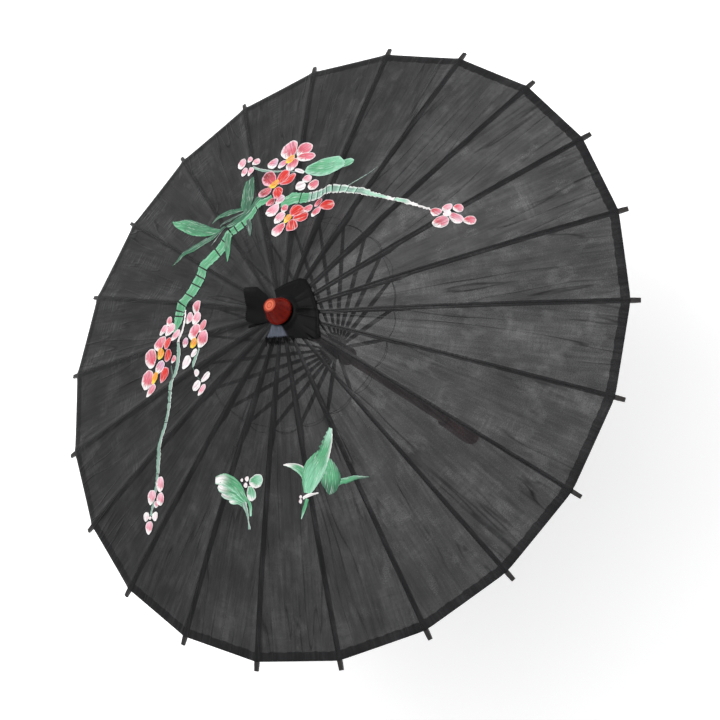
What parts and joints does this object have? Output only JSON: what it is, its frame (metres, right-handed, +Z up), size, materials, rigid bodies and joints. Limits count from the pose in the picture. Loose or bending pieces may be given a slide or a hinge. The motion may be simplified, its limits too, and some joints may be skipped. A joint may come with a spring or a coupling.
{
  "type": "parasol",
  "caption": "Folding parasol: a sheer black painted cloth canopy on split bamboo ribs, with stretchers on a sliding runner, a turned finial and a straight handle.",
  "frame": {"origin": "centre of the handle's flat lower end", "axes": "+Z up the shaft towards the finial; +X along rib 1, with the ribs numbered clockwise seen from above"},
  "size_m": [0.8408, 0.8328, 0.555],
  "materials": {
    "black_cloth": "sheer satin, hand painted",
    "black_satin": "satin",
    "black_thread": "twisted",
    "black_bamboo": "black stain",
    "shaft_wood": "stained, satin",
    "hub_wood": "stained, satin",
    "red_lacquer": "glossy lacquer",
    "steel": "plain"
  },
  "bodies": {
    "frame": {"shaft": "shaft_wood", "handle": "red_lacquer", "finial": "red_lacquer", "head": "hub_wood", "head_thread": "black_thread", "head_pin": "steel", "cap_cloth": "black_satin", "canopy": "black_cloth", "pivot_thread": "black_thread"},
    "runner": {"runner": "hub_wood", "runner_thread": "black_thread"},
    "catch": {"catch": "steel"},
    "rib_01": {"rib_01": "black_bamboo"},
    "stretcher_01": {"stretcher_01": "black_bamboo"},
    "rib_02": {"rib_02": "black_bamboo"},
    "stretcher_02": {"stretcher_02": "black_bamboo"},
    "rib_03": {"rib_03": "black_bamboo"},
    "stretcher_03": {"stretcher_03": "black_bamboo"},
    "rib_04": {"rib_04": "black_bamboo"},
    "stretcher_04": {"stretcher_04": "black_bamboo"},
    "rib_05": {"rib_05": "black_bamboo"},
    "stretcher_05": {"stretcher_05": "black_bamboo"},
    "rib_06": {"rib_06": "black_bamboo"},
    "stretcher_06": {"stretcher_06": "black_bamboo"},
    "rib_07": {"rib_07": "black_bamboo"},
    "stretcher_07": {"stretcher_07": "black_bamboo"},
    "rib_08": {"rib_08": "black_bamboo"},
    "stretcher_08": {"stretcher_08": "black_bamboo"},
    "rib_09": {"rib_09": "black_bamboo"},
    "stretcher_09": {"stretcher_09": "black_bamboo"},
    "rib_10": {"rib_10": "black_bamboo"},
    "stretcher_10": {"stretcher_10": "black_bamboo"},
    "rib_11": {"rib_11": "black_bamboo"},
    "stretcher_11": {"stretcher_11": "black_bamboo"},
    "rib_12": {"rib_12": "black_bamboo"},
    "stretcher_12": {"stretcher_12": "black_bamboo"},
    "rib_13": {"rib_13": "black_bamboo"},
    "stretcher_13": {"stretcher_13": "black_bamboo"},
    "rib_14": {"rib_14": "black_bamboo"},
    "stretcher_14": {"stretcher_14": "black_bamboo"},
    "rib_15": {"rib_15": "black_bamboo"},
    "stretcher_15": {"stretcher_15": "black_bamboo"},
    "rib_16": {"rib_16": "black_bamboo"},
    "stretcher_16": {"stretcher_16": "black_bamboo"},
    "rib_17": {"rib_17": "black_bamboo"},
    "stretcher_17": {"stretcher_17": "black_bamboo"},
    "rib_18": {"rib_18": "black_bamboo"},
    "stretcher_18": {"stretcher_18": "black_bamboo"},
    "rib_19": {"rib_19": "black_bamboo"},
    "stretcher_19": {"stretcher_19": "black_bamboo"},
    "rib_20": {"rib_20": "black_bamboo"},
    "stretcher_20": {"stretcher_20": "black_bamboo"},
    "rib_21": {"rib_21": "black_bamboo"},
    "stretcher_21": {"stretcher_21": "black_bamboo"},
    "rib_22": {"rib_22": "black_bamboo"},
    "stretcher_22": {"stretcher_22": "black_bamboo"}
  },
  "joints": [
    {"name": "runner_slide", "type": "slide", "parent": "frame", "child": "runner", "axis": [0, 0, -1], "range_m": [0, 0.1587], "deforming": ["canopy", "pivot_thread", "catch"]},
    {"name": "catch_press", "type": "hinge", "parent": "frame", "child": "catch", "pos_m": [0, -0.0022, 0.329], "axis": [-1, 0, 0], "range_deg": [0, 5], "stiffness_Nm_per_rad": 0.15, "springref_deg": -3.44},
    {"name": "rib_01_hinge", "type": "hinge", "parent": "frame", "child": "rib_01", "pos_m": [0.0145, 0, 0.524], "axis": [0, 1, 0], "range_deg": [0, 73.9]},
    {"name": "stretcher_01_hinge", "type": "hinge", "parent": "rib_01", "child": "stretcher_01", "pos_m": [0.1365, 0, 0.4941], "axis": [0, -1, 0], "range_deg": [0, 126.8]},
    {"name": "rib_02_hinge", "type": "hinge", "parent": "frame", "child": "rib_02", "pos_m": [0.01391, -0.00409, 0.524], "axis": [0.2817, 0.9595, 0], "range_deg": [0, 73.9]},
    {"name": "stretcher_02_hinge", "type": "hinge", "parent": "rib_02", "child": "stretcher_02", "pos_m": [0.13097, -0.03846, 0.4941], "axis": [-0.2817, -0.9595, 0], "range_deg": [0, 126.8]},
    {"name": "rib_03_hinge", "type": "hinge", "parent": "frame", "child": "rib_03", "pos_m": [0.0122, -0.00784, 0.524], "axis": [0.5406, 0.8413, 0], "range_deg": [0, 73.9]},
    {"name": "stretcher_03_hinge", "type": "hinge", "parent": "rib_03", "child": "stretcher_03", "pos_m": [0.11483, -0.0738, 0.4941], "axis": [-0.5406, -0.8413, 0], "range_deg": [0, 126.8]},
    {"name": "rib_04_hinge", "type": "hinge", "parent": "frame", "child": "rib_04", "pos_m": [0.00949, -0.01096, 0.524], "axis": [0.7557, 0.6549, 0], "range_deg": [0, 73.9]},
    {"name": "stretcher_04_hinge", "type": "hinge", "parent": "rib_04", "child": "stretcher_04", "pos_m": [0.08939, -0.10316, 0.4941], "axis": [-0.7557, -0.6549, 0], "range_deg": [0, 126.8]},
    {"name": "rib_05_hinge", "type": "hinge", "parent": "frame", "child": "rib_05", "pos_m": [0.00602, -0.01319, 0.524], "axis": [0.9096, 0.4154, 0], "range_deg": [0, 73.9]},
    {"name": "stretcher_05_hinge", "type": "hinge", "parent": "rib_05", "child": "stretcher_05", "pos_m": [0.0567, -0.12416, 0.4941], "axis": [-0.9096, -0.4154, 0], "range_deg": [0, 126.8]},
    {"name": "rib_06_hinge", "type": "hinge", "parent": "frame", "child": "rib_06", "pos_m": [0.00206, -0.01435, 0.524], "axis": [0.9898, 0.1423, 0], "range_deg": [0, 73.9]},
    {"name": "stretcher_06_hinge", "type": "hinge", "parent": "rib_06", "child": "stretcher_06", "pos_m": [0.01943, -0.13511, 0.4941], "axis": [-0.9898, -0.1423, 0], "range_deg": [0, 126.8]},
    {"name": "rib_07_hinge", "type": "hinge", "parent": "frame", "child": "rib_07", "pos_m": [-0.00206, -0.01435, 0.524], "axis": [0.9898, -0.1423, 0], "range_deg": [0, 73.9]},
    {"name": "stretcher_07_hinge", "type": "hinge", "parent": "rib_07", "child": "stretcher_07", "pos_m": [-0.01943, -0.13511, 0.4941], "axis": [-0.9898, 0.1423, 0], "range_deg": [0, 126.8]},
    {"name": "rib_08_hinge", "type": "hinge", "parent": "frame", "child": "rib_08", "pos_m": [-0.00602, -0.01319, 0.524], "axis": [0.9096, -0.4154, 0], "range_deg": [0, 73.9]},
    {"name": "stretcher_08_hinge", "type": "hinge", "parent": "rib_08", "child": "stretcher_08", "pos_m": [-0.0567, -0.12416, 0.4941], "axis": [-0.9096, 0.4154, 0], "range_deg": [0, 126.8]},
    {"name": "rib_09_hinge", "type": "hinge", "parent": "frame", "child": "rib_09", "pos_m": [-0.00949, -0.01096, 0.524], "axis": [0.7557, -0.6549, 0], "range_deg": [0, 73.9]},
    {"name": "stretcher_09_hinge", "type": "hinge", "parent": "rib_09", "child": "stretcher_09", "pos_m": [-0.08939, -0.10316, 0.4941], "axis": [-0.7557, 0.6549, 0], "range_deg": [0, 126.8]},
    {"name": "rib_10_hinge", "type": "hinge", "parent": "frame", "child": "rib_10", "pos_m": [-0.0122, -0.00784, 0.524], "axis": [0.5406, -0.8413, 0], "range_deg": [0, 73.9]},
    {"name": "stretcher_10_hinge", "type": "hinge", "parent": "rib_10", "child": "stretcher_10", "pos_m": [-0.11483, -0.0738, 0.4941], "axis": [-0.5406, 0.8413, 0], "range_deg": [0, 126.8]},
    {"name": "rib_11_hinge", "type": "hinge", "parent": "frame", "child": "rib_11", "pos_m": [-0.01391, -0.00409, 0.524], "axis": [0.2817, -0.9595, 0], "range_deg": [0, 73.9]},
    {"name": "stretcher_11_hinge", "type": "hinge", "parent": "rib_11", "child": "stretcher_11", "pos_m": [-0.13097, -0.03846, 0.4941], "axis": [-0.2817, 0.9595, 0], "range_deg": [0, 126.8]},
    {"name": "rib_12_hinge", "type": "hinge", "parent": "frame", "child": "rib_12", "pos_m": [-0.0145, 0, 0.524], "axis": [0, -1, 0], "range_deg": [0, 73.9]},
    {"name": "stretcher_12_hinge", "type": "hinge", "parent": "rib_12", "child": "stretcher_12", "pos_m": [-0.1365, 0, 0.4941], "axis": [0, 1, 0], "range_deg": [0, 126.8]},
    {"name": "rib_13_hinge", "type": "hinge", "parent": "frame", "child": "rib_13", "pos_m": [-0.01391, 0.00409, 0.524], "axis": [-0.2817, -0.9595, 0], "range_deg": [0, 73.9]},
    {"name": "stretcher_13_hinge", "type": "hinge", "parent": "rib_13", "child": "stretcher_13", "pos_m": [-0.13097, 0.03846, 0.4941], "axis": [0.2817, 0.9595, 0], "range_deg": [0, 126.8]},
    {"name": "rib_14_hinge", "type": "hinge", "parent": "frame", "child": "rib_14", "pos_m": [-0.0122, 0.00784, 0.524], "axis": [-0.5406, -0.8413, 0], "range_deg": [0, 73.9]},
    {"name": "stretcher_14_hinge", "type": "hinge", "parent": "rib_14", "child": "stretcher_14", "pos_m": [-0.11483, 0.0738, 0.4941], "axis": [0.5406, 0.8413, 0], "range_deg": [0, 126.8]},
    {"name": "rib_15_hinge", "type": "hinge", "parent": "frame", "child": "rib_15", "pos_m": [-0.00949, 0.01096, 0.524], "axis": [-0.7557, -0.6549, 0], "range_deg": [0, 73.9]},
    {"name": "stretcher_15_hinge", "type": "hinge", "parent": "rib_15", "child": "stretcher_15", "pos_m": [-0.08939, 0.10316, 0.4941], "axis": [0.7557, 0.6549, 0], "range_deg": [0, 126.8]},
    {"name": "rib_16_hinge", "type": "hinge", "parent": "frame", "child": "rib_16", "pos_m": [-0.00602, 0.01319, 0.524], "axis": [-0.9096, -0.4154, 0], "range_deg": [0, 73.9]},
    {"name": "stretcher_16_hinge", "type": "hinge", "parent": "rib_16", "child": "stretcher_16", "pos_m": [-0.0567, 0.12416, 0.4941], "axis": [0.9096, 0.4154, 0], "range_deg": [0, 126.8]},
    {"name": "rib_17_hinge", "type": "hinge", "parent": "frame", "child": "rib_17", "pos_m": [-0.00206, 0.01435, 0.524], "axis": [-0.9898, -0.1423, 0], "range_deg": [0, 73.9]},
    {"name": "stretcher_17_hinge", "type": "hinge", "parent": "rib_17", "child": "stretcher_17", "pos_m": [-0.01943, 0.13511, 0.4941], "axis": [0.9898, 0.1423, 0], "range_deg": [0, 126.8]},
    {"name": "rib_18_hinge", "type": "hinge", "parent": "frame", "child": "rib_18", "pos_m": [0.00206, 0.01435, 0.524], "axis": [-0.9898, 0.1423, 0], "range_deg": [0, 73.9]},
    {"name": "stretcher_18_hinge", "type": "hinge", "parent": "rib_18", "child": "stretcher_18", "pos_m": [0.01943, 0.13511, 0.4941], "axis": [0.9898, -0.1423, 0], "range_deg": [0, 126.8]},
    {"name": "rib_19_hinge", "type": "hinge", "parent": "frame", "child": "rib_19", "pos_m": [0.00602, 0.01319, 0.524], "axis": [-0.9096, 0.4154, 0], "range_deg": [0, 73.9]},
    {"name": "stretcher_19_hinge", "type": "hinge", "parent": "rib_19", "child": "stretcher_19", "pos_m": [0.0567, 0.12416, 0.4941], "axis": [0.9096, -0.4154, 0], "range_deg": [0, 126.8]},
    {"name": "rib_20_hinge", "type": "hinge", "parent": "frame", "child": "rib_20", "pos_m": [0.00949, 0.01096, 0.524], "axis": [-0.7557, 0.6549, 0], "range_deg": [0, 73.9]},
    {"name": "stretcher_20_hinge", "type": "hinge", "parent": "rib_20", "child": "stretcher_20", "pos_m": [0.08939, 0.10316, 0.4941], "axis": [0.7557, -0.6549, 0], "range_deg": [0, 126.8]},
    {"name": "rib_21_hinge", "type": "hinge", "parent": "frame", "child": "rib_21", "pos_m": [0.0122, 0.00784, 0.524], "axis": [-0.5406, 0.8413, 0], "range_deg": [0, 73.9]},
    {"name": "stretcher_21_hinge", "type": "hinge", "parent": "rib_21", "child": "stretcher_21", "pos_m": [0.11483, 0.0738, 0.4941], "axis": [0.5406, -0.8413, 0], "range_deg": [0, 126.8]},
    {"name": "rib_22_hinge", "type": "hinge", "parent": "frame", "child": "rib_22", "pos_m": [0.01391, 0.00409, 0.524], "axis": [-0.2817, 0.9595, 0], "range_deg": [0, 73.9]},
    {"name": "stretcher_22_hinge", "type": "hinge", "parent": "rib_22", "child": "stretcher_22", "pos_m": [0.13097, 0.03846, 0.4941], "axis": [0.2817, -0.9595, 0], "range_deg": [0, 126.8]}
  ],
  "couplings": [
    {"joint": "rib_01_hinge", "follows": "runner_slide", "rad_per_m": 8.127},
    {"joint": "stretcher_01_hinge", "follows": "runner_slide", "rad_per_m": 13.937},
    {"joint": "rib_02_hinge", "follows": "runner_slide", "rad_per_m": 8.127},
    {"joint": "stretcher_02_hinge", "follows": "runner_slide", "rad_per_m": 13.937},
    {"joint": "rib_03_hinge", "follows": "runner_slide", "rad_per_m": 8.127},
    {"joint": "stretcher_03_hinge", "follows": "runner_slide", "rad_per_m": 13.937},
    {"joint": "rib_04_hinge", "follows": "runner_slide", "rad_per_m": 8.127},
    {"joint": "stretcher_04_hinge", "follows": "runner_slide", "rad_per_m": 13.937},
    {"joint": "rib_05_hinge", "follows": "runner_slide", "rad_per_m": 8.127},
    {"joint": "stretcher_05_hinge", "follows": "runner_slide", "rad_per_m": 13.937},
    {"joint": "rib_06_hinge", "follows": "runner_slide", "rad_per_m": 8.127},
    {"joint": "stretcher_06_hinge", "follows": "runner_slide", "rad_per_m": 13.937},
    {"joint": "rib_07_hinge", "follows": "runner_slide", "rad_per_m": 8.127},
    {"joint": "stretcher_07_hinge", "follows": "runner_slide", "rad_per_m": 13.937},
    {"joint": "rib_08_hinge", "follows": "runner_slide", "rad_per_m": 8.127},
    {"joint": "stretcher_08_hinge", "follows": "runner_slide", "rad_per_m": 13.937},
    {"joint": "rib_09_hinge", "follows": "runner_slide", "rad_per_m": 8.127},
    {"joint": "stretcher_09_hinge", "follows": "runner_slide", "rad_per_m": 13.937},
    {"joint": "rib_10_hinge", "follows": "runner_slide", "rad_per_m": 8.127},
    {"joint": "stretcher_10_hinge", "follows": "runner_slide", "rad_per_m": 13.937},
    {"joint": "rib_11_hinge", "follows": "runner_slide", "rad_per_m": 8.127},
    {"joint": "stretcher_11_hinge", "follows": "runner_slide", "rad_per_m": 13.937},
    {"joint": "rib_12_hinge", "follows": "runner_slide", "rad_per_m": 8.127},
    {"joint": "stretcher_12_hinge", "follows": "runner_slide", "rad_per_m": 13.937},
    {"joint": "rib_13_hinge", "follows": "runner_slide", "rad_per_m": 8.127},
    {"joint": "stretcher_13_hinge", "follows": "runner_slide", "rad_per_m": 13.937},
    {"joint": "rib_14_hinge", "follows": "runner_slide", "rad_per_m": 8.127},
    {"joint": "stretcher_14_hinge", "follows": "runner_slide", "rad_per_m": 13.937},
    {"joint": "rib_15_hinge", "follows": "runner_slide", "rad_per_m": 8.127},
    {"joint": "stretcher_15_hinge", "follows": "runner_slide", "rad_per_m": 13.937},
    {"joint": "rib_16_hinge", "follows": "runner_slide", "rad_per_m": 8.127},
    {"joint": "stretcher_16_hinge", "follows": "runner_slide", "rad_per_m": 13.937},
    {"joint": "rib_17_hinge", "follows": "runner_slide", "rad_per_m": 8.127},
    {"joint": "stretcher_17_hinge", "follows": "runner_slide", "rad_per_m": 13.937},
    {"joint": "rib_18_hinge", "follows": "runner_slide", "rad_per_m": 8.127},
    {"joint": "stretcher_18_hinge", "follows": "runner_slide", "rad_per_m": 13.937},
    {"joint": "rib_19_hinge", "follows": "runner_slide", "rad_per_m": 8.127},
    {"joint": "stretcher_19_hinge", "follows": "runner_slide", "rad_per_m": 13.937},
    {"joint": "rib_20_hinge", "follows": "runner_slide", "rad_per_m": 8.127},
    {"joint": "stretcher_20_hinge", "follows": "runner_slide", "rad_per_m": 13.937},
    {"joint": "rib_21_hinge", "follows": "runner_slide", "rad_per_m": 8.127},
    {"joint": "stretcher_21_hinge", "follows": "runner_slide", "rad_per_m": 13.937},
    {"joint": "rib_22_hinge", "follows": "runner_slide", "rad_per_m": 8.127},
    {"joint": "stretcher_22_hinge", "follows": "runner_slide", "rad_per_m": 13.937}
  ]
}
